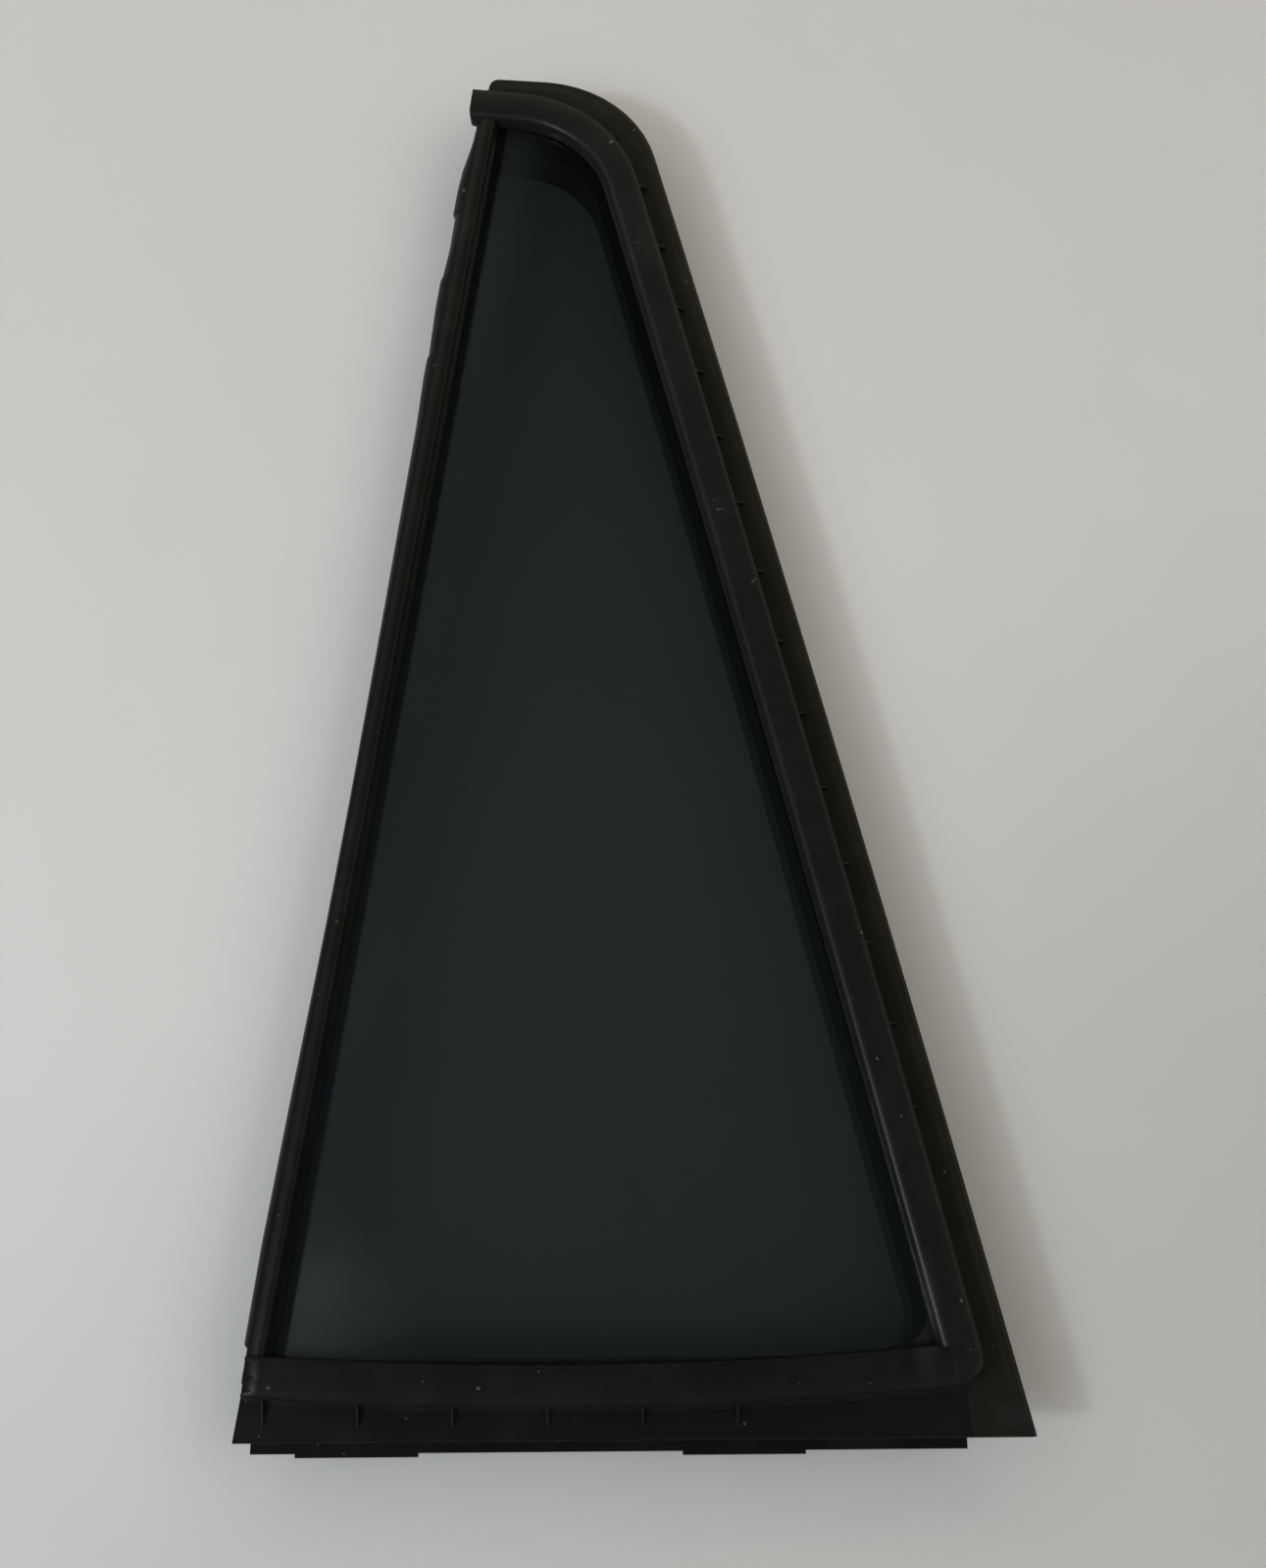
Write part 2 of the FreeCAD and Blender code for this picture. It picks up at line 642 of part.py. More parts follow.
# The pane
pane = new_body("quarter_glass")
gap = of("edge_gap")
sheet_outline = outline(
    pane, "PaneOutline", of("glass_seat"), of("front_wall") + gap, SILL - of("sill_bite") + gap,
    *past_sight(of("rear_bite") - gap),
)
blank = pad(pane, "Pane", sheet_outline, of("glass_thickness"))
doc.recompute()
side, front = sheet_outline.Geometry[0], sheet_outline.Geometry[3]
sharp = [side.StartPoint, front.StartPoint, front.EndPoint]
corners = add(pane, "Fillet", "PaneCorners", Base=(blank, upright_edges(blank, sharp)))
corners.setExpression("Radius", "Sizes.pane_corner * 1 mm")
doc.recompute()
faces = [
    f"Face{index}" for index, face in enumerate(corners.Shape.Faces, start=1)
    if face.BoundBox.ZLength < 0.01
]
arris = add(pane, "Chamfer", "PaneArris", Base=(corners, faces))
arris.setExpression("Size", "Sizes.pane_arris * 1 mm")
doc.recompute()

# Bring the outline's middle over the origin
points = seal.Shape.copy().tessellate(0.02)[0]
spans = [(min(values), max(values)) for values in zip(*points)]
for body in (seal, pane):
    body.Placement.Base = V(-sum(spans[0]) / 2, -sum(spans[1]) / 2, -spans[2][0])
doc.recompute()

for item in doc.Objects:
    assert "Invalid" not in item.State and "Error" not in item.State, (item.Name, item.State)
    assert getattr(item, "FullyConstrained", True), item.Name

os.makedirs("parts", exist_ok=True)
for body in (seal, pane):
    shape = body.Shape
    assert not shape.isNull() and shape.isValid() and len(shape.Solids) == 1, body.Label
    shape.exportStep(f"parts/{body.Label}.step")
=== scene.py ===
import math

import bmesh
import bpy
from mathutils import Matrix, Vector


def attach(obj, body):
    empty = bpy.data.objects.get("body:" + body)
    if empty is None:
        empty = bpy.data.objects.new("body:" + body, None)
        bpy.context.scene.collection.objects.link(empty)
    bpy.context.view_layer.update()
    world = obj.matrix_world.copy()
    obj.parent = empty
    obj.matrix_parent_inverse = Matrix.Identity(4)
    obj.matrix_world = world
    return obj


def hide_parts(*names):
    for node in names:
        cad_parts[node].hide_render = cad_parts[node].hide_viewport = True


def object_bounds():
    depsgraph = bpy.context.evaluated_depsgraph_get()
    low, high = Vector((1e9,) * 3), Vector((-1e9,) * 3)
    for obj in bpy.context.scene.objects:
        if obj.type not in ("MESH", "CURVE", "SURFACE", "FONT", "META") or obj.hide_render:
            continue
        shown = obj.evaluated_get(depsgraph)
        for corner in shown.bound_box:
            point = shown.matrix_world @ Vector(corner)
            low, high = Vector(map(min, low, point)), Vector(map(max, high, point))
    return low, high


# Fixed rear door quarter glass in its moulded rubber seal, lying on a pale floor, outer side up.
# Metres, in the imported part's frame: X to the slanted rear edge, Y up along the door, Z out of it.

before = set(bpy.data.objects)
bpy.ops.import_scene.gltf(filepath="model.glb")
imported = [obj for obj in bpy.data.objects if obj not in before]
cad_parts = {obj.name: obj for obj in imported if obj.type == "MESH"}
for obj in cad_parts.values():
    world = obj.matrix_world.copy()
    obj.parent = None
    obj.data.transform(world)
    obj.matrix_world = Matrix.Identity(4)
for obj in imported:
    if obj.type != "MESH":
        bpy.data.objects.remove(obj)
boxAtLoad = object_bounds()
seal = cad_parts["rubber_seal"]
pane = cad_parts["quarter_glass"]
print("frame loaded")


def newMaterial(name):
    material = bpy.data.materials.new(name)
    material.use_nodes = True
    return material, material.node_tree.nodes, material.node_tree.links


def setSockets(node, values):
    for name, value in values.items():
        node.inputs[name].default_value = value


# Rubber: one colour and shine for each place of the seal, one wear and painted shade for all
rubberLook = {
    "body": (0.0064, 0.0060, 0.0058, 1), "skirt": (0.0072, 0.0066, 0.0068, 1),
    "bead": (0.0092, 0.0092, 0.0086, 1), "flange": (0.0114, 0.0108, 0.0088, 1),
    "crown": (0.0060, 0.0060, 0.0056, 1), "sill": (0.0078, 0.0079, 0.0077, 1),
    "specular": {"body": 0.06, "skirt": 0.06, "bead": 0.09, "crown": 0.06, "flange": 0.09, "sill": 0.06},
    "roughness": 0.30, "grain": 0.25, "grainScale": 900, "grainDepth": 0.0001,
    "dust": (0.16, 0.155, 0.14, 1),
    "smears": 0.035, "smearScale": 60, "smearFrom": (0.45, 0.8),
    "specks": 0.45, "speckScale": 420, "speckFrom": (0.765, 0.82),
    # painted shade: which way and how far the rubber colour darkens toward the rear lower corner
    "paintedShadeWay": (0.6, -0.8, 0), "paintedShadeFrom": -0.12, "paintedShadeTo": 0.20, "paintedShade": 0.62,
    "scuffAt": (0.0775, -0.0549, 0.0240), "scuffScale": (1, 0.3, 1), "scuffReach": 0.006, "scuff": 0.30,
}


# Dust smears, specks, a rubbed place, painted shade that darkens the colour toward the rear lower corner, and
# a fine grain
def makeWearAndShade():
    group = bpy.data.node_groups.new("rubberWearAndShade", "ShaderNodeTree")
    nodes, links = group.nodes, group.links
    for name, way, kind in (
        ("Color", "INPUT", "NodeSocketColor"), ("Dust", "INPUT", "NodeSocketColor"),
        ("Smears", "INPUT", "NodeSocketFloat"), ("Specks", "INPUT", "NodeSocketFloat"),
        ("Scuff", "INPUT", "NodeSocketFloat"), ("Grain", "INPUT", "NodeSocketFloat"),
        ("Color", "OUTPUT", "NodeSocketColor"), ("Normal", "OUTPUT", "NodeSocketVector"),
    ):
        group.interface.new_socket(name, in_out=way, socket_type=kind)
    given = nodes.new("NodeGroupInput")
    result = nodes.new("NodeGroupOutput")
    spot = nodes.new("ShaderNodeTexCoord")
    level = nodes.new("ShaderNodeMath")
    level.operation = "ADD"
    masks = []
    for socket, (name, scale, detail, rough, span) in enumerate((
        ("Smears", rubberLook["smearScale"], 6, 0.65, rubberLook["smearFrom"]),
        ("Specks", rubberLook["speckScale"], 1, 0.5, rubberLook["speckFrom"]),
    )):
        texture = nodes.new("ShaderNodeTexNoise")
        setSockets(texture, {"Scale": scale, "Detail": detail, "Roughness": rough})
        mapped = nodes.new("ShaderNodeMapRange")
        setSockets(mapped, {"From Min": span[0], "From Max": span[1]})
        links.new(spot.outputs["Object"], texture.inputs["Vector"])
        links.new(texture.outputs["Fac"], mapped.inputs["Value"])
        links.new(given.outputs[name], mapped.inputs["To Max"])
        links.new(mapped.outputs["Result"], level.inputs[socket])
        masks.append(texture)
    # pale rubbed place at the lower end of the rear bead's inner shoulder
    squeezed = nodes.new("ShaderNodeVectorMath")
    squeezed.operation = "MULTIPLY"
    squeezed.inputs[1].default_value = rubberLook["scuffScale"]
    links.new(spot.outputs["Object"], squeezed.inputs[0])
    fromScuff = nodes.new("ShaderNodeVectorMath")
    fromScuff.operation = "DISTANCE"
    fromScuff.inputs[1].default_value = rubberLook["scuffAt"]
    links.new(squeezed.outputs["Vector"], fromScuff.inputs[0])
    scuff = nodes.new("ShaderNodeMapRange")
    scuff.interpolation_type = "SMOOTHSTEP"
    setSockets(scuff, {"From Max": rubberLook["scuffReach"], "To Max": 0})
    links.new(fromScuff.outputs["Value"], scuff.inputs["Value"])
    links.new(given.outputs["Scuff"], scuff.inputs["To Min"])
    rubbed = nodes.new("ShaderNodeMath")
    rubbed.operation = "MULTIPLY_ADD"
    links.new(scuff.outputs["Result"], rubbed.inputs[0])
    links.new(masks[0].outputs["Fac"], rubbed.inputs[1])
    links.new(level.outputs["Value"], rubbed.inputs[2])
    dusty = nodes.new("ShaderNodeMix")
    dusty.data_type = "RGBA"
    links.new(rubbed.outputs["Value"], dusty.inputs[0])
    links.new(given.outputs["Color"], dusty.inputs[6])
    links.new(given.outputs["Dust"], dusty.inputs[7])
    # painted shade: the colour darkens toward the rear lower corner, where less light falls
    toShade = nodes.new("ShaderNodeVectorMath")
    toShade.operation = "DOT_PRODUCT"
    toShade.inputs[1].default_value = rubberLook["paintedShadeWay"]
    links.new(spot.outputs["Object"], toShade.inputs[0])
    shadeRamp = nodes.new("ShaderNodeMapRange")
    setSockets(shadeRamp, {
        "From Min": rubberLook["paintedShadeFrom"], "From Max": rubberLook["paintedShadeTo"],
        "To Min": 1, "To Max": rubberLook["paintedShade"],
    })
    links.new(toShade.outputs["Value"], shadeRamp.inputs["Value"])
    shaded = nodes.new("ShaderNodeVectorMath")
    shaded.operation = "SCALE"
    links.new(dusty.outputs[2], shaded.inputs[0])
    links.new(shadeRamp.outputs["Result"], shaded.inputs["Scale"])
    links.new(shaded.outputs["Vector"], result.inputs["Color"])
    grain = nodes.new("ShaderNodeTexNoise")
    setSockets(grain, {"Scale": rubberLook["grainScale"], "Detail": 4})
    bump = nodes.new("ShaderNodeBump")
    setSockets(bump, {"Distance": rubberLook["grainDepth"]})
    links.new(given.outputs["Grain"], bump.inputs["Strength"])
    links.new(spot.outputs["Object"], grain.inputs["Vector"])
    links.new(grain.outputs["Fac"], bump.inputs["Height"])
    links.new(bump.outputs["Normal"], result.inputs["Normal"])
    return group


rubberWearAndShade = makeWearAndShade()


def rubberMaterial(place):
    material, nodes, links = newMaterial(place + "Rubber")
    shader = nodes["Principled BSDF"]
    setSockets(shader, {
        "Roughness": rubberLook["roughness"],
        "Specular IOR Level": rubberLook["specular"][place],
    })
    wearAndShade = nodes.new("ShaderNodeGroup")
    wearAndShade.node_tree = rubberWearAndShade
    setSockets(wearAndShade, {
        "Color": rubberLook[place], "Dust": rubberLook["dust"], "Smears": rubberLook["smears"],
        "Specks": rubberLook["specks"], "Scuff": rubberLook["scuff"], "Grain": rubberLook["grain"],
    })
    links.new(wearAndShade.outputs["Color"], shader.inputs["Base Color"])
    links.new(wearAndShade.outputs["Normal"], shader.inputs["Normal"])
    return material


# Tinted glass: each face of the pane takes the square root of what the whole pane lets through
glassLook = {
    "color": (0.180, 0.2065, 0.189, 1), "roughness": 0.0, "ior": 1.5,
    # dust is the film's colour; film is a little dust everywhere, edge and corner are painted light where
    # light leaks under the seal's front side
    "dust": (0.46, 0.57, 0.52, 1), "film": 0.0012, "edge": 0.0120, "corner": 0.024,
    "frontLean": math.radians(7.831), "frontX": -0.0667, "edgeLightReach": 0.022,
    "cornerLightAt": (-0.090, -0.187, 0.019), "cornerLightReach": 0.036,
    "cloudScale": 18, "cloudFrom": (0.3, 0.7), "cloudTo": (0.6, 1.4), "fade": 0.0006,
}


def glassMaterial():
    material, nodes, links = newMaterial("tintedGlass")
    shader = nodes["Principled BSDF"]
    setSockets(shader, {
        "Base Color": glassLook["color"], "Roughness": glassLook["roughness"],
        "IOR": glassLook["ior"], "Transmission Weight": 1,
    })
    clear = nodes.new("ShaderNodeBsdfTransparent")
    setSockets(clear, {"Color": glassLook["color"]})
    path = nodes.new("ShaderNodeLightPath")
    mix = nodes.new("ShaderNodeMixShader")
    links.new(path.outputs["Is Shadow Ray"], mix.inputs[0])
    links.new(shader.outputs[0], mix.inputs[1])
    links.new(clear.outputs[0], mix.inputs[2])

    # dust film everywhere a little; more toward the front edge and in the front lower corner, as painted light
    # where light leaks in under the seal's front side
    spot = nodes.new("ShaderNodeTexCoord")
    fromFront = nodes.new("ShaderNodeVectorMath")
    fromFront.operation = "DOT_PRODUCT"
    fromFront.inputs[1].default_value = (1, -math.tan(glassLook["frontLean"]), 0)
    links.new(spot.outputs["Object"], fromFront.inputs[0])
    edge = nodes.new("ShaderNodeMapRange")
    edge.interpolation_type = "SMOOTHSTEP"
    setSockets(edge, {
        "From Min": glassLook["frontX"], "From Max": glassLook["frontX"] + glassLook["edgeLightReach"],
        "To Min": glassLook["edge"], "To Max": glassLook["film"],
    })
    links.new(fromFront.outputs["Value"], edge.inputs["Value"])
    fromCorner = nodes.new("ShaderNodeVectorMath")
    fromCorner.operation = "DISTANCE"
    fromCorner.inputs[1].default_value = glassLook["cornerLightAt"]
    links.new(spot.outputs["Object"], fromCorner.inputs[0])
    corner = nodes.new("ShaderNodeMapRange")
    corner.interpolation_type = "SMOOTHSTEP"
    setSockets(corner, {
        "From Max": glassLook["cornerLightReach"], "To Min": glassLook["corner"], "To Max": 0,
    })
    links.new(fromCorner.outputs["Value"], corner.inputs["Value"])
    cloud = nodes.new("ShaderNodeTexNoise")
    setSockets(cloud, {"Scale": glassLook["cloudScale"], "Detail": 5, "Roughness": 0.6})
    links.new(spot.outputs["Object"], cloud.inputs["Vector"])
    patchy = nodes.new("ShaderNodeMapRange")
    setSockets(patchy, {
        "From Min": glassLook["cloudFrom"][0], "From Max": glassLook["cloudFrom"][1],
        "To Min": glassLook["cloudTo"][0], "To Max": glassLook["cloudTo"][1],
    })
    links.new(cloud.outputs["Fac"], patchy.inputs["Value"])
    inside = nodes.new("ShaderNodeMapRange")
    setSockets(inside, {
        "From Min": glassLook["frontX"] - glassLook["fade"], "From Max": glassLook["frontX"],
    })
    links.new(fromFront.outputs["Value"], inside.inputs["Value"])
    dustAndLeakLight = nodes.new("ShaderNodeMath")
    dustAndLeakLight.operation = "ADD"
    links.new(edge.outputs["Result"], dustAndLeakLight.inputs[0])
    links.new(corner.outputs["Result"], dustAndLeakLight.inputs[1])
    uneven = nodes.new("ShaderNodeMath")
    uneven.operation = "MULTIPLY"
    links.new(dustAndLeakLight.outputs["Value"], uneven.inputs[0])
    links.new(patchy.outputs["Result"], uneven.inputs[1])
    film = nodes.new("ShaderNodeMath")
    film.operation = "MULTIPLY"
    links.new(uneven.outputs["Value"], film.inputs[0])
    links.new(inside.outputs["Result"], film.inputs[1])
    # the dust film's colour, which also carries the painted leak light at the front edge and corner
    dust = nodes.new("ShaderNodeBsdfDiffuse")
    setSockets(dust, {"Color": glassLook["dust"]})
    dusty = nodes.new("ShaderNodeMixShader")
    links.new(film.outputs["Value"], dusty.inputs[0])
    links.new(mix.outputs[0], dusty.inputs[1])
    links.new(dust.outputs[0], dusty.inputs[2])
    links.new(dusty.outputs[0], nodes["Material Output"].inputs["Surface"])
    return material


def dress(obj, material):
    obj.data.materials.clear()
    obj.data.materials.append(material)


rubber = {place: rubberMaterial(place) for place in rubberLook["specular"]}
dress(seal, rubber["body"])
dress(pane, glassMaterial())
print("materials set")

# The seal's outline, from the sizes of the part's own construction. Heights are above the skirt's
# edge, gaps are from the outer edge, square to it.
sealForm = {
    "halfSkirt": 0.1065, "lowestLip": 0.0043, "face": 0.019,
    "rearLean": math.radians(12.7), "rearRadius": 15.0, "frontLean": math.radians(7.831),
    "flange": {"gap": 0.0, "height": 0.3925, "radius": 0.0400, "lean": math.radians(4.6)},
    "sight": {"gap": 0.0197, "height": 0.3799, "radius": 0.0336, "lean": math.radians(6.5)},
    "sillHeight": 0.0194, "sillLow": -0.018, "sillRadius": 1.2, "beadWidth": 0.0112,
}
skirtEdge = boxAtLoad[0][1] + sealForm["lowestLip"]
bowX = sealForm["halfSkirt"] - sealForm["rearRadius"] * math.cos(sealForm["rearLean"])
bowY = -sealForm["rearRadius"] * math.sin(sealForm["rearLean"])


def inFrame(x, height, up):
    return Vector((x, skirtEdge + height, sealForm["face"] + up))


def frontPoint(height, across):
    lean = sealForm["frontLean"]
    x = height * math.tan(lean) - sealForm["halfSkirt"] + across * math.cos(lean)
    return x, height - across * math.sin(lean)


def sillPoint(x, across):
    turn = math.asin((x - sealForm["sillLow"]) / sealForm["sillRadius"])
    reach = sealForm["sillRadius"] + across
    middle = sealForm["sillHeight"] + sealForm["sillRadius"]
    return sealForm["sillLow"] + reach * math.sin(turn), middle - reach * math.cos(turn)


# Place and outward direction along the rear side (stage 0 to 1), the round corner (to 2) and the top (to 3)
def rearPoint(line, stage, low, last):
    form = sealForm[line]
    side = sealForm["rearRadius"] - form["gap"]
    rise = form["height"] - bowY
    cornerX = bowX + math.sqrt((side - form["radius"]) ** 2 - rise ** 2)
    turn = math.atan2(rise, cornerX - bowX)
    topTurn = math.pi / 2 - form["lean"]
    if stage <= 1:
        lowTurn = math.asin((low - bowY) / side)
        angle = lowTurn + (turn - lowTurn) * max(stage, 0)
        return Vector((bowX + side * math.cos(angle), bowY + side * math.sin(angle))), angle
    reach = form["radius"]
    if stage <= 2:
        angle = turn + (topTurn - turn) * (stage - 1)
        return Vector((cornerX + reach * math.cos(angle), form["height"] + reach * math.sin(angle))), angle
    start = Vector((cornerX + reach * math.cos(topTurn), form["height"] + reach * math.sin(topTurn)))
    x = start.x + (last - start.x) * (stage - 2)
    return Vector((x, start.y + (start.x - x) * math.tan(form["lean"]))), topTurn


def finishPiece(name, mesh, place, subdivide=0):
    bmesh.ops.recalc_face_normals(mesh, faces=mesh.faces)
    data = bpy.data.meshes.new(name)
    mesh.to_mesh(data)
    mesh.free()
    piece = bpy.data.objects.new(name, data)
    bpy.context.scene.collection.objects.link(piece)
    if subdivide:
        data.shade_smooth()
        smooth = piece.modifiers.new("smooth", "SUBSURF")
        smooth.levels = smooth.render_levels = subdivide
    data.materials.append(rubber[place])
    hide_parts("rubber_seal")
    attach(piece, "root")
    return piece


endCrease = 0.8


# Carry a closed section of (across, up) points in mm along the stations, with a cap at each end
def sweepSection(section, stations, place):
    mesh = bmesh.new()
    crease = mesh.edges.layers.float.new("crease_edge")
    points = [(across / 1000, up / 1000) for across, up in section]
    ring = [mesh.verts.new(place(stations[0], *point)) for point in points]
    loop = [mesh.edges.new((ring[index - 1], ring[index])) for index in range(len(ring))]
    caps = []
    for station in stations:
        if station == stations[0] or station == stations[-1]:
            caps += bmesh.ops.contextual_create(mesh, geom=loop)["faces"]
            for edge in loop:
                edge[crease] = endCrease
        if station == stations[-1]:
            break
        before = {vert.co.to_tuple(8): index for index, vert in enumerate(ring)}
        grown = bmesh.ops.extrude_edge_only(mesh, edges=loop)["geom"]
        ring = sorted(
            (item for item in grown if isinstance(item, bmesh.types.BMVert)),
            key=lambda vert: before[vert.co.to_tuple(8)],
        )
        loop = [
            item for item in grown
            if isinstance(item, bmesh.types.BMEdge) and set(item.verts) <= set(ring)
        ]
        following = stations[stations.index(station) + 1]
        for vert, point in zip(ring, points):
            vert.co = place(following, *point)
    bmesh.ops.triangulate(mesh, faces=caps)
    return mesh


# Body under the face: the CAD seal below its flange, without the forms that are swept anew
bodyForm = {"top": 0.01695, "weld": 1e-7, "cut": 1e-6}
mesh = bmesh.new()
mesh.from_mesh(seal.data)
bmesh.ops.remove_doubles(mesh, verts=mesh.verts, dist=bodyForm["weld"])
bmesh.ops.bisect_plane(
    mesh, geom=mesh.verts[:] + mesh.edges[:] + mesh.faces[:], dist=bodyForm["cut"],
    plane_co=(0, 0, bodyForm["top"]), plane_no=(0, 0, 1), clear_outer=True,
)
rims = [edge for edge in mesh.edges if edge.is_boundary]
bmesh.ops.triangle_fill(mesh, edges=rims, use_beauty=True)
finishPiece("sealBody", mesh, "body")
print("body made")

# Flange with its rolled edge, up the rear side, round the corner and along the top
flangeForm = {
    "sideSteps": 12, "cornerSteps": 10, "width": 0.0197, "endRound": 0.0035,
    "topRise": 2.4, "endBack": 0.0012,  # the rolled edge stands higher along the top
    "topStages": (2, 2.3, 2.6, 2.86, 2.91, 2.95, 2.98, 3),
    "section": (
        (7.6, -2.05), (7.6, 0), (12.8, 0), (15.4, 0.05), (16.8, 0.2), (17.9, 0.5), (19.0, 0.6),
        (19.9, 0.2), (20.1, -0.6), (19.9, -1.6), (19.7, -2.05),
    ),
}


# How far an outline that is rounded at its end has drawn back, at this distance from the end
def roundedBy(fromEnd, radius):
    if fromEnd >= radius:
        return 0
    return radius - math.sqrt(max(0, radius ** 2 - (radius - fromEnd) ** 2))


topMost = sealForm["flange"]["height"] + sealForm["flange"]["radius"]


def flangePlace(stage, across, up):
    front = frontPoint(topMost, 0)[0] + flangeForm["endBack"]
    inner, turn = rearPoint("sight", stage, 0.0, front)
    outer, outerTurn = rearPoint("flange", stage, 0.0, front)
    bead = sealForm["beadWidth"]
    foot = inner + Vector((math.cos(turn), math.sin(turn))) * min(across, bead)
    beyond = max(0, across - bead) / (flangeForm["width"] - bead)
    back = roundedBy(outer.x - front, flangeForm["endRound"])
    outer -= Vector((math.cos(outerTurn), math.sin(outerTurn))) * back
    spot = foot + (outer - foot) * beyond
    rise = 1 + flangeForm["topRise"] * min(max(stage - 1, 0), 1) if up > 0 else 1
    return inFrame(spot.x, max(spot.y, 0.0), up * rise)


def runStages(form):
    lowest = 1 if "lowStages" in form else 0
    sides = [step / form["sideSteps"] for step in range(lowest, form["sideSteps"])]
    corner = [1 + step / form["cornerSteps"] for step in range(form["cornerSteps"])]
    return list(form.get("lowStages", ())) + sides + corner + list(form["topStages"])


finishPiece("sealFlange", sweepSection(flangeForm["section"], runStages(flangeForm), flangePlace), "flange", 2)

# Bead round the daylight opening, from the sill up the rear side to the tab past the front edge
beadForm = {
    "sideSteps": 12, "cornerSteps": 10, "topStages": (2, 2.3, 2.6, 2.88, 2.93, 2.97, 3),
    "foot": 0.0135, "footRound": 0.006, "footWidth": 0.0091, "footSqueeze": 0.2,
    "tab": -0.0523, "tabRound": 0.0018, "tabSqueeze": 0.1,
    "lowStages": (0, 0.002, 0.005, 0.010, 0.018, 0.035),
    "section": (
        (0.4, 0.03), (0, 0.4), (0, 1.4), (0, 2.7), (0.6, 4.8), (2.1, 5.8), (4.4, 6.05), (9.6, 5.95),
        (11.1, 5.6), (11.35, 4.6), (11.3, 0.4), (10.9, 0.03),
    ),
}


def beadPlace(stage, across, up):
    inner, turn = rearPoint("sight", stage, beadForm["foot"], beadForm["tab"])
    drawn = roundedBy(inner.y - beadForm["foot"], beadForm["footRound"]) if stage < 1 else 0
    across = min(across, across * beadForm["footSqueeze"] + beadForm["footWidth"] - drawn)
    cut = roundedBy(inner.x - beadForm["tab"], beadForm["tabRound"]) if stage > 2 else 0
    across = max(across, across * beadForm["tabSqueeze"] + cut)
    spot = inner + Vector((math.cos(turn), math.sin(turn))) * across
    return inFrame(spot.x, spot.y, up)


finishPiece("sealBead", sweepSection(beadForm["section"], runStages(beadForm), beadPlace), "bead", 2)

# Bead along the sill
sillForm = {
    "front": -0.1030, "rear": 0.0885, "steps": 10,
    "section": (
        (0.4, 0.03), (0, 0.4), (0, 2), (0.1, 4.9), (0.35, 5.75), (1.2, 5.95), (6, 5.95), (9.2, 5.85),
        (10.8, 5.4), (11.0, 4.4), (11.0, 0.5), (11.1, 0.07), (12.8, 0.06), (12.8, 0.03),
    ),
}


def sillPlace(x, across, up):
    return inFrame(*sillPoint(x, across), up)


sillSpan = sillForm["rear"] - sillForm["front"]
stations = [sillForm["front"] + sillSpan * step / sillForm["steps"] for step in range(sillForm["steps"] + 1)]
finishPiece("sillBead", sweepSection(sillForm["section"], stations, sillPlace), "sill", 2)

# Front crown with the thin lip at its foot; the lip's reach changes along the run
frontForm = {
    "low": 0.0150, "high": 0.4195, "pitch": 0.020,
    "lip": 0.00245, "lipRoot": 0.0001,  # the section's own reach, and where it starts
    "widen": 0.0010, "widened": (0.0035, 0.006),
    "section": (
        (-2.45, -2.0), (-2.6, -0.8), (-2.2, 0.9), (-1.0, 2.5), (0.6, 3.8), (2.3, 4.5), (3.9, 4.85),
        (4.7, 4.6), (5.6, 3.5), (6.5, 1.7), (7.0, 0.4), (7.0, 0.03), (3.3, 0.03), (3, -0.2),
        (3, -2.1), (-0.1, -2.1),
    ),
    # the lip past the front edge, as torn and trimmed along the run: height and reach
    "reach": (
        (0.0150, 0), (0.0238, 0.0002), (0.0246, 0.0016), (0.050, 0.0020), (0.090, 0.0016), (0.141, 0.0007),
        (0.176, 0.0006), (0.232, 0.0012), (0.272, 0.0017), (0.300, 0.0020), (0.319, 0.0027),
        (0.3253, 0.0027), (0.3265, 0.0023), (0.345, 0.0031), (0.3545, 0.0031), (0.3560, 0.0026),
        (0.366, 0.0020), (0.3788, 0.0022), (0.3803, 0.0031), (0.389, 0.0031), (0.397, 0.0027),
        (0.408, 0.0008), (0.4195, 0),
    ),
}


def lipReach(height):
    knots = frontForm["reach"]
    for (low, first), (high, last) in zip(knots, knots[1:]):
        if height <= high:
            return first + (last - first) * max(0, height - low) / (high - low)
    return knots[-1][1]


def frontPlace(height, across, up):
    root = frontForm["lipRoot"]
    if across < -2 * root:
        across = -root + (across + root) * lipReach(height) / frontForm["lip"]
    elif frontForm["widened"][0] < across < frontForm["widened"][1]:
        across += frontForm["widen"] * height / frontForm["high"]
    return inFrame(*frontPoint(height, across), up)


stepCount = int((frontForm["high"] - frontForm["low"]) / frontForm["pitch"])
stations = [frontForm["low"] + frontForm["pitch"] * step for step in range(1, stepCount)]
stations = sorted(set(stations + [height for height, reach in frontForm["reach"]]))
finishPiece("frontCrown", sweepSection(frontForm["section"], stations, frontPlace), "crown", 2)

# Skirt plate below the sill bead
skirtForm = {
    "upper": 0.0123, "rearUpper": 0.024, "top": -0.00005, "under": -0.00245, "bevel": 0.0003,
    "jointFoot": 0.0898, "joint": 0.0887, "inset": 0.0006,  # line between the skirt and the flange's foot
}


# A flat plate from its outline's (x, height) corners, with a fine bevel round its upper edge
def plate(outline, low, high, edge):
    mesh = bmesh.new()
    corners = [mesh.verts.new(inFrame(x, height, low)) for x, height in outline]
    rim = [mesh.edges.new((corners[index - 1], corners[index])) for index in range(len(corners))]
    base = bmesh.ops.contextual_create(mesh, geom=rim)["faces"]
    grown = bmesh.ops.extrude_face_region(mesh, geom=base)["geom"]
    upper = [item for item in grown if isinstance(item, bmesh.types.BMVert)]
    bmesh.ops.translate(mesh, verts=upper, vec=(0, 0, high - low))
    top = [item for item in grown if isinstance(item, bmesh.types.BMEdge)]
    bmesh.ops.bevel(mesh, geom=top, offset=edge, affect="EDGES", segments=3, profile=0.5, material=-1)
    return mesh


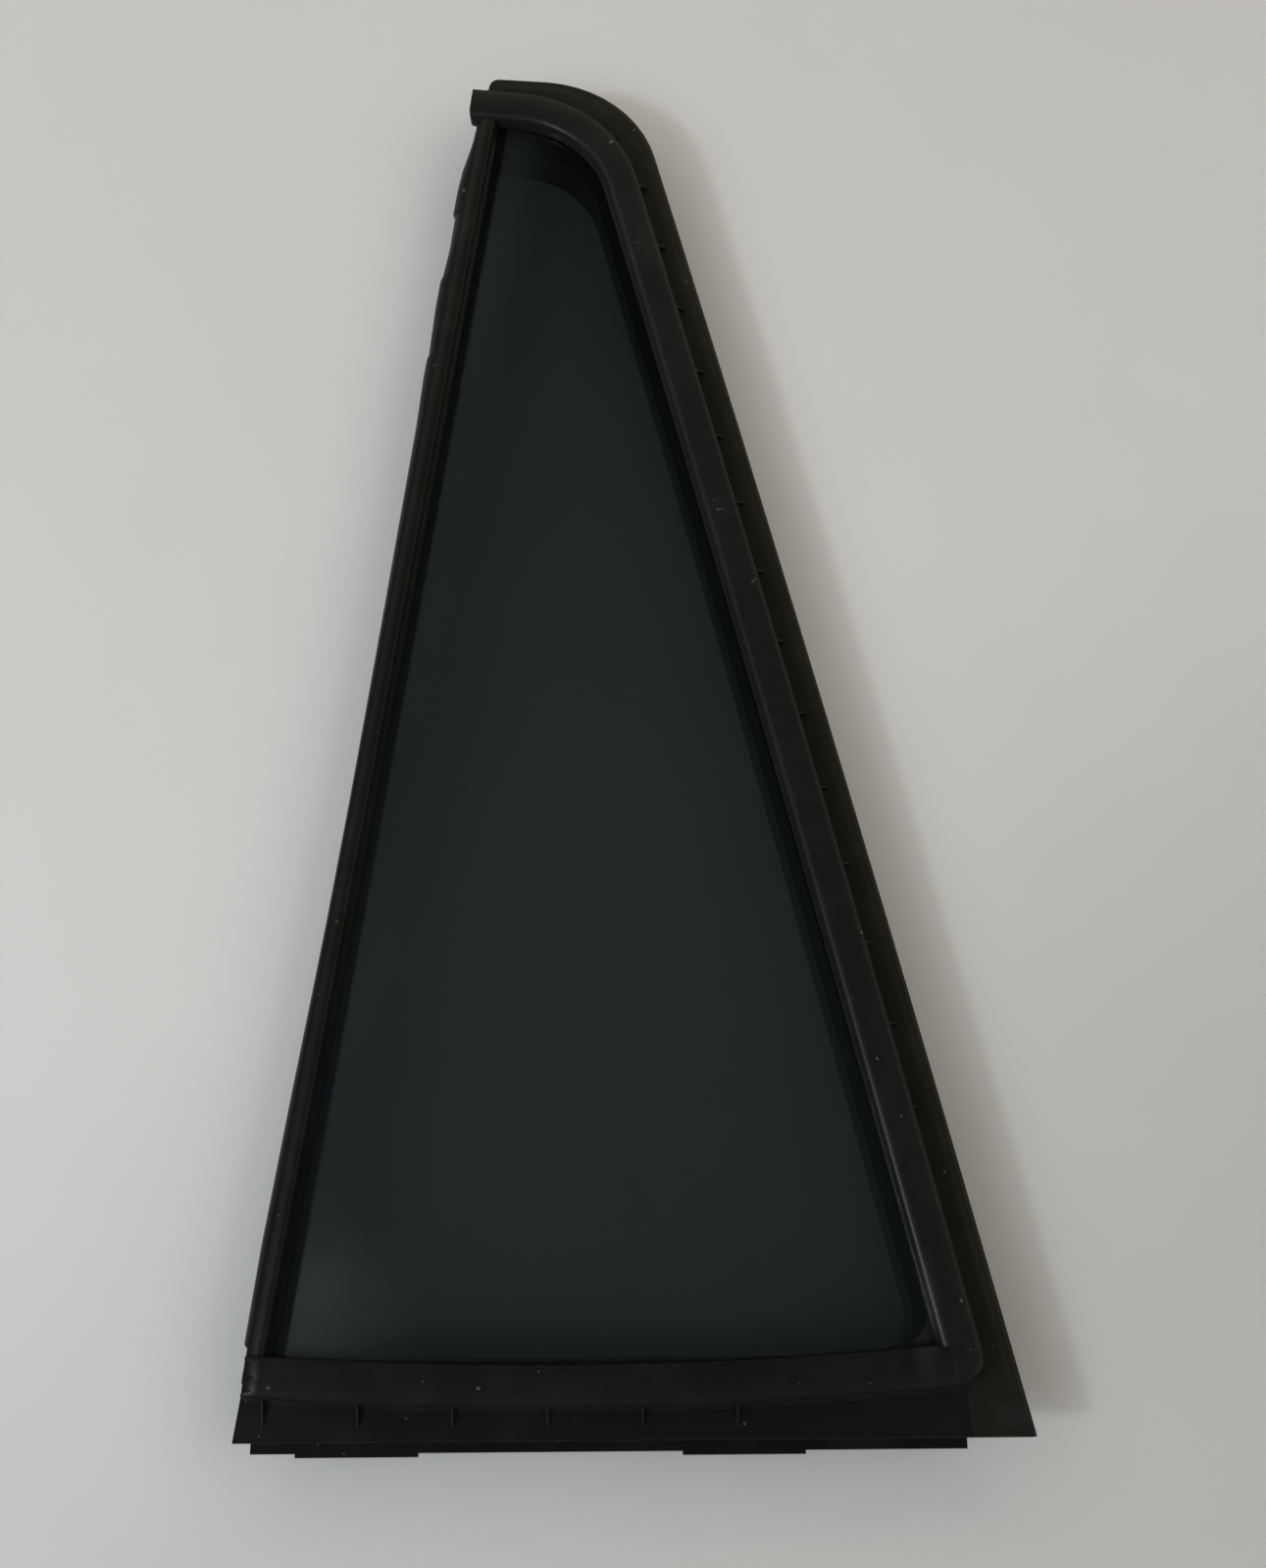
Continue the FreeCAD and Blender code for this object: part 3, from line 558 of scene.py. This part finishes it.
jointFoot, joint = skirtForm["jointFoot"], skirtForm["joint"]
skirtTop = skirtForm["upper"]
skirtOutline = [
    (frontPoint(0, 0)[0], 0.0), (jointFoot, 0.0), (joint, skirtTop), (frontPoint(skirtTop, 0)[0], skirtTop),
]
lower, upper = [rearPoint("flange", 0, height, 0)[0] for height in (0.0, skirtForm["rearUpper"])]
rearOutline = [
    (jointFoot, 0.0), (lower.x - skirtForm["inset"], 0.0), (upper.x - skirtForm["inset"], upper.y),
    (joint, skirtForm["rearUpper"]), (joint, skirtTop),
]
for name, outline, place in (("skirtPlate", skirtOutline, "skirt"), ("skirtRear", rearOutline, "flange")):
    mesh = plate(outline, skirtForm["under"], skirtForm["top"], skirtForm["bevel"])
    finishPiece(name, mesh, place)

# Round web in the opening's rear lower corner
webForm = {
    "radius": 0.0115, "under": 0.00003, "top": 0.0011, "bevel": 0.0002, "steps": 8, "back": 0.003,
    "axis": (1.1, 0.9), "from": -95, "sweep": 105,  # the round's middle in radii from the corner, in degrees
}
cornerHeight = 0.0236
for tries in range(3):  # where the sill meets the rear side
    cornerX = rearPoint("sight", 0, cornerHeight, 0)[0].x
    cornerHeight = sillPoint(cornerX, 0)[1]
reach = webForm["radius"]
webAxisX = cornerX - reach * webForm["axis"][0]
webAxisY = cornerHeight + reach * webForm["axis"][1]
outline = [(cornerX + webForm["back"], cornerHeight - webForm["back"])]
for step in range(webForm["steps"] + 1):
    turn = math.radians(webForm["from"] + webForm["sweep"] * step / webForm["steps"])
    outline.append((webAxisX + reach * math.cos(turn), webAxisY + reach * math.sin(turn)))
finishPiece("cornerWeb", plate(outline, webForm["under"], webForm["top"], webForm["bevel"]), "bead")

# Stiffening ribs at the beads' feet
ribForm = {
    "thick": 0.0007, "inBead": 0.0008, "sink": 0.0003, "shoulder": 0.92, "tip": 0.0002,
    "rearHeight": 0.0038, "rearReach": 0.0034, "rearLow": 0.0835, "rearTop": 0.3864,
    "rearCount": 14, "cornerTurn": math.radians(39.3), "sillHeight": 0.0026, "sillFoot": 0.0036,
    "sillAcross": 0.0110, "sillFirst": 0.0086, "sillPitch": 0.025, "sillCount": 6,
}


# A thin wedge that leans on a bead at foot and runs out flat along outward
def addRib(name, foot, outward, reach, rise):
    mesh = bmesh.new()
    side = Vector((-outward.y, outward.x)) * ribForm["thick"] / 2
    back = foot - outward * ribForm["inBead"]
    tip = foot + outward * reach
    corners = [mesh.verts.new(inFrame(spot.x - side.x, spot.y - side.y, up)) for spot, up in (
        (back, -ribForm["sink"]), (back, rise), (foot, rise * ribForm["shoulder"]),
        (tip, ribForm["tip"]), (tip, -ribForm["sink"]),
    )]
    rim = [mesh.edges.new((corners[index - 1], corners[index])) for index in range(len(corners))]
    base = bmesh.ops.contextual_create(mesh, geom=rim)["faces"]
    grown = bmesh.ops.extrude_face_region(mesh, geom=base)["geom"]
    moved = [item for item in grown if isinstance(item, bmesh.types.BMVert)]
    bmesh.ops.translate(mesh, verts=moved, vec=(side.x * 2, side.y * 2, 0))
    finishPiece(name, mesh, "bead")


beadWidth = sealForm["beadWidth"]
for index in range(ribForm["rearCount"]):
    share = index / (ribForm["rearCount"] - 1)
    height = ribForm["rearLow"] + (ribForm["rearTop"] - ribForm["rearLow"]) * share
    spot, turn = rearPoint("sight", 0, height, 0)
    outward = Vector((math.cos(turn), math.sin(turn)))
    foot = spot + outward * beadWidth
    addRib(f"rearRib{index + 1}", foot, outward, ribForm["rearReach"], ribForm["rearHeight"])
cornerRadius = sealForm["sight"]["radius"]
cornerFoot, turn = rearPoint("sight", 1, 0, 0)
cornerMiddle = cornerFoot - Vector((math.cos(turn), math.sin(turn))) * cornerRadius
outward = Vector((math.cos(ribForm["cornerTurn"]), math.sin(ribForm["cornerTurn"])))
foot = cornerMiddle + outward * (cornerRadius + beadWidth)
addRib("cornerRib", foot, outward, ribForm["rearReach"], ribForm["rearHeight"])
for index in range(ribForm["sillCount"]):
    x = ribForm["sillFirst"] + ribForm["sillPitch"] * index - sealForm["halfSkirt"]
    crest = Vector(sillPoint(x, ribForm["sillAcross"]))
    reach = crest.y - ribForm["sillFoot"]
    addRib(f"sillRib{index + 1}", crest, Vector((0, -1)), reach, ribForm["sillHeight"])
print("seal pieces made")

# Floor, light and camera
floorLook = {
    "size": 6.0, "roughness": 0.6, "color": (0.53, 0.525, 0.53, 1), "paintedShade": (0.415, 0.412, 0.415, 1),
    # painted shade: the floor's colour turns to the darker one toward the lower right, where less light falls
    "paintedShadeWay": (0.45, -0.9, 0), "paintedShadeFrom": -0.02, "paintedShadeTo": 0.24,
    "mottle": 0.02, "mottleScale": 25,
}
bpy.ops.mesh.primitive_plane_add(size=floorLook["size"])
floor = bpy.context.object
floor.name = "floor"
material, nodes, links = newMaterial("paleFloor")
setSockets(nodes["Principled BSDF"], {"Roughness": floorLook["roughness"]})
spot = nodes.new("ShaderNodeTexCoord")
# painted shade on the floor's colour toward the lower right; the mottle is random tone
toShade = nodes.new("ShaderNodeVectorMath")
toShade.operation = "DOT_PRODUCT"
toShade.inputs[1].default_value = floorLook["paintedShadeWay"]
links.new(spot.outputs["Object"], toShade.inputs[0])
shadeRamp = nodes.new("ShaderNodeMapRange")
shadeRamp.interpolation_type = "SMOOTHSTEP"
setSockets(shadeRamp, {"From Min": floorLook["paintedShadeFrom"], "From Max": floorLook["paintedShadeTo"]})
links.new(toShade.outputs["Value"], shadeRamp.inputs["Value"])
mottle = nodes.new("ShaderNodeTexNoise")
setSockets(mottle, {"Scale": floorLook["mottleScale"], "Detail": 5})
links.new(spot.outputs["Object"], mottle.inputs["Vector"])
mottleLevel = nodes.new("ShaderNodeMapRange")
setSockets(mottleLevel, {"To Min": 1 - floorLook["mottle"], "To Max": 1 + floorLook["mottle"]})
links.new(mottle.outputs["Fac"], mottleLevel.inputs["Value"])
shade = nodes.new("ShaderNodeMix")
shade.data_type = "RGBA"
shade.inputs[6].default_value = floorLook["color"]
shade.inputs[7].default_value = floorLook["paintedShade"]
links.new(shadeRamp.outputs["Result"], shade.inputs[0])
shaded = nodes.new("ShaderNodeVectorMath")
shaded.operation = "SCALE"
links.new(shade.outputs[2], shaded.inputs[0])
links.new(mottleLevel.outputs["Result"], shaded.inputs["Scale"])
links.new(shaded.outputs["Vector"], nodes["Principled BSDF"].inputs["Base Color"])
dress(floor, material)

lightLook = {
    "window": {"from": (-1.15, -0.65, 1.2), "size": 0.9, "power": 9.5, "color": (0.85, 0.93, 1.0)},
    "windowCore": {"from": (-1.2, -0.55, 1.25), "size": 0.18, "power": 8, "color": (0.82, 0.92, 1.0)},
    "low": 0.86, "high": 0.95, "lean": (0, 0.35, 1), "ground": (0.38, 0.52), "dimGround": 0.12,
    "overhead": (0.09, 0.12, 0.13, 1), "farOverhead": (0.04, 0.045, 0.055, 1),
    "farFrom": (0.2, 0.6), "warmWay": (0.38, 0.93, 0), "warmFrom": (-0.8, 0.9),
    "away": (2.35, 2.12, 1.70, 1), "near": (0.62, 0.65, 0.70, 1),
}


def addLamp(name, look):
    data = bpy.data.lights.new(name, "AREA")
    data.shape = "SQUARE"
    data.size = look["size"]
    data.energy = look["power"]
    data.color = look["color"]
    lamp = bpy.data.objects.new(name, data)
    lamp.location = look["from"]
    lamp.rotation_euler = (-Vector(look["from"])).to_track_quat("-Z", "Y").to_euler()
    bpy.context.scene.collection.objects.link(lamp)


for name in ("window", "windowCore"):
    addLamp(name, lightLook[name])

# The room: bright and warm beyond the object's top, dim and cool behind the camera, dark overhead
world = bpy.data.worlds.new("room")
world.use_nodes = True
bpy.context.scene.world = world
nodes, links = world.node_tree.nodes, world.node_tree.links
place = nodes.new("ShaderNodeTexCoord")
split = nodes.new("ShaderNodeSeparateXYZ")
links.new(place.outputs["Generated"], split.inputs[0])
around = nodes.new("ShaderNodeMapRange")
around.interpolation_type = "SMOOTHSTEP"
setSockets(around, {"From Min": lightLook["warmFrom"][0], "From Max": lightLook["warmFrom"][1]})
toWarm = nodes.new("ShaderNodeVectorMath")
toWarm.operation = "DOT_PRODUCT"
toWarm.inputs[1].default_value = lightLook["warmWay"]
links.new(place.outputs["Generated"], toWarm.inputs[0])
links.new(toWarm.outputs["Value"], around.inputs["Value"])
side = nodes.new("ShaderNodeMix")
side.data_type = "RGBA"
side.inputs[6].default_value = lightLook["near"]
side.inputs[7].default_value = lightLook["away"]
links.new(around.outputs["Result"], side.inputs[0])
upward = nodes.new("ShaderNodeMapRange")
upward.interpolation_type = "SMOOTHSTEP"
setSockets(upward, {"From Min": lightLook["low"], "From Max": lightLook["high"]})
leaned = nodes.new("ShaderNodeVectorMath")
leaned.operation = "DOT_PRODUCT"
leaned.inputs[1].default_value = lightLook["lean"]
links.new(place.outputs["Generated"], leaned.inputs[0])
links.new(leaned.outputs["Value"], upward.inputs["Value"])
lifted = nodes.new("ShaderNodeMapRange")
lifted.interpolation_type = "SMOOTHSTEP"
setSockets(lifted, {
    "From Min": lightLook["ground"][0], "From Max": lightLook["ground"][1], "To Min": lightLook["dimGround"],
})
links.new(split.outputs["Z"], lifted.inputs["Value"])
aside = nodes.new("ShaderNodeVectorMath")
aside.operation = "SCALE"
links.new(side.outputs[2], aside.inputs[0])
links.new(lifted.outputs["Result"], aside.inputs["Scale"])
sky = nodes.new("ShaderNodeMix")
sky.data_type = "RGBA"
ceiling = nodes.new("ShaderNodeMix")
ceiling.data_type = "RGBA"
ceiling.inputs[6].default_value = lightLook["overhead"]
ceiling.inputs[7].default_value = lightLook["farOverhead"]
beyond = nodes.new("ShaderNodeMapRange")
setSockets(beyond, {"From Min": lightLook["farFrom"][0], "From Max": lightLook["farFrom"][1]})
links.new(split.outputs["Y"], beyond.inputs["Value"])
links.new(beyond.outputs["Result"], ceiling.inputs[0])
links.new(ceiling.outputs[2], sky.inputs[7])
links.new(upward.outputs["Result"], sky.inputs[0])
links.new(aside.outputs["Vector"], sky.inputs[6])
links.new(sky.outputs[2], nodes["Background"].inputs["Color"])

cameraLook = {
    "place": (0.0, -0.1738, 0.479), "tilt": 17.0, "heading": -0.457,
    "focalPixels": 1650, "tallPixels": 1599, "sensor": 36, "clip": 0.01,
}
cameraData = bpy.data.cameras.new("photoView")
cameraData.sensor_width = cameraLook["sensor"]
cameraData.lens = cameraLook["sensor"] * cameraLook["focalPixels"] / cameraLook["tallPixels"]
cameraData.clip_start = cameraLook["clip"]
camera = bpy.data.objects.new("photoView", cameraData)
camera.location = cameraLook["place"]
camera.rotation_euler = (math.radians(cameraLook["tilt"]), 0, math.radians(cameraLook["heading"]))
bpy.context.scene.collection.objects.link(camera)
bpy.context.scene.camera = camera
bpy.context.scene.view_settings.view_transform = "Standard"
print("floor, light and camera set")
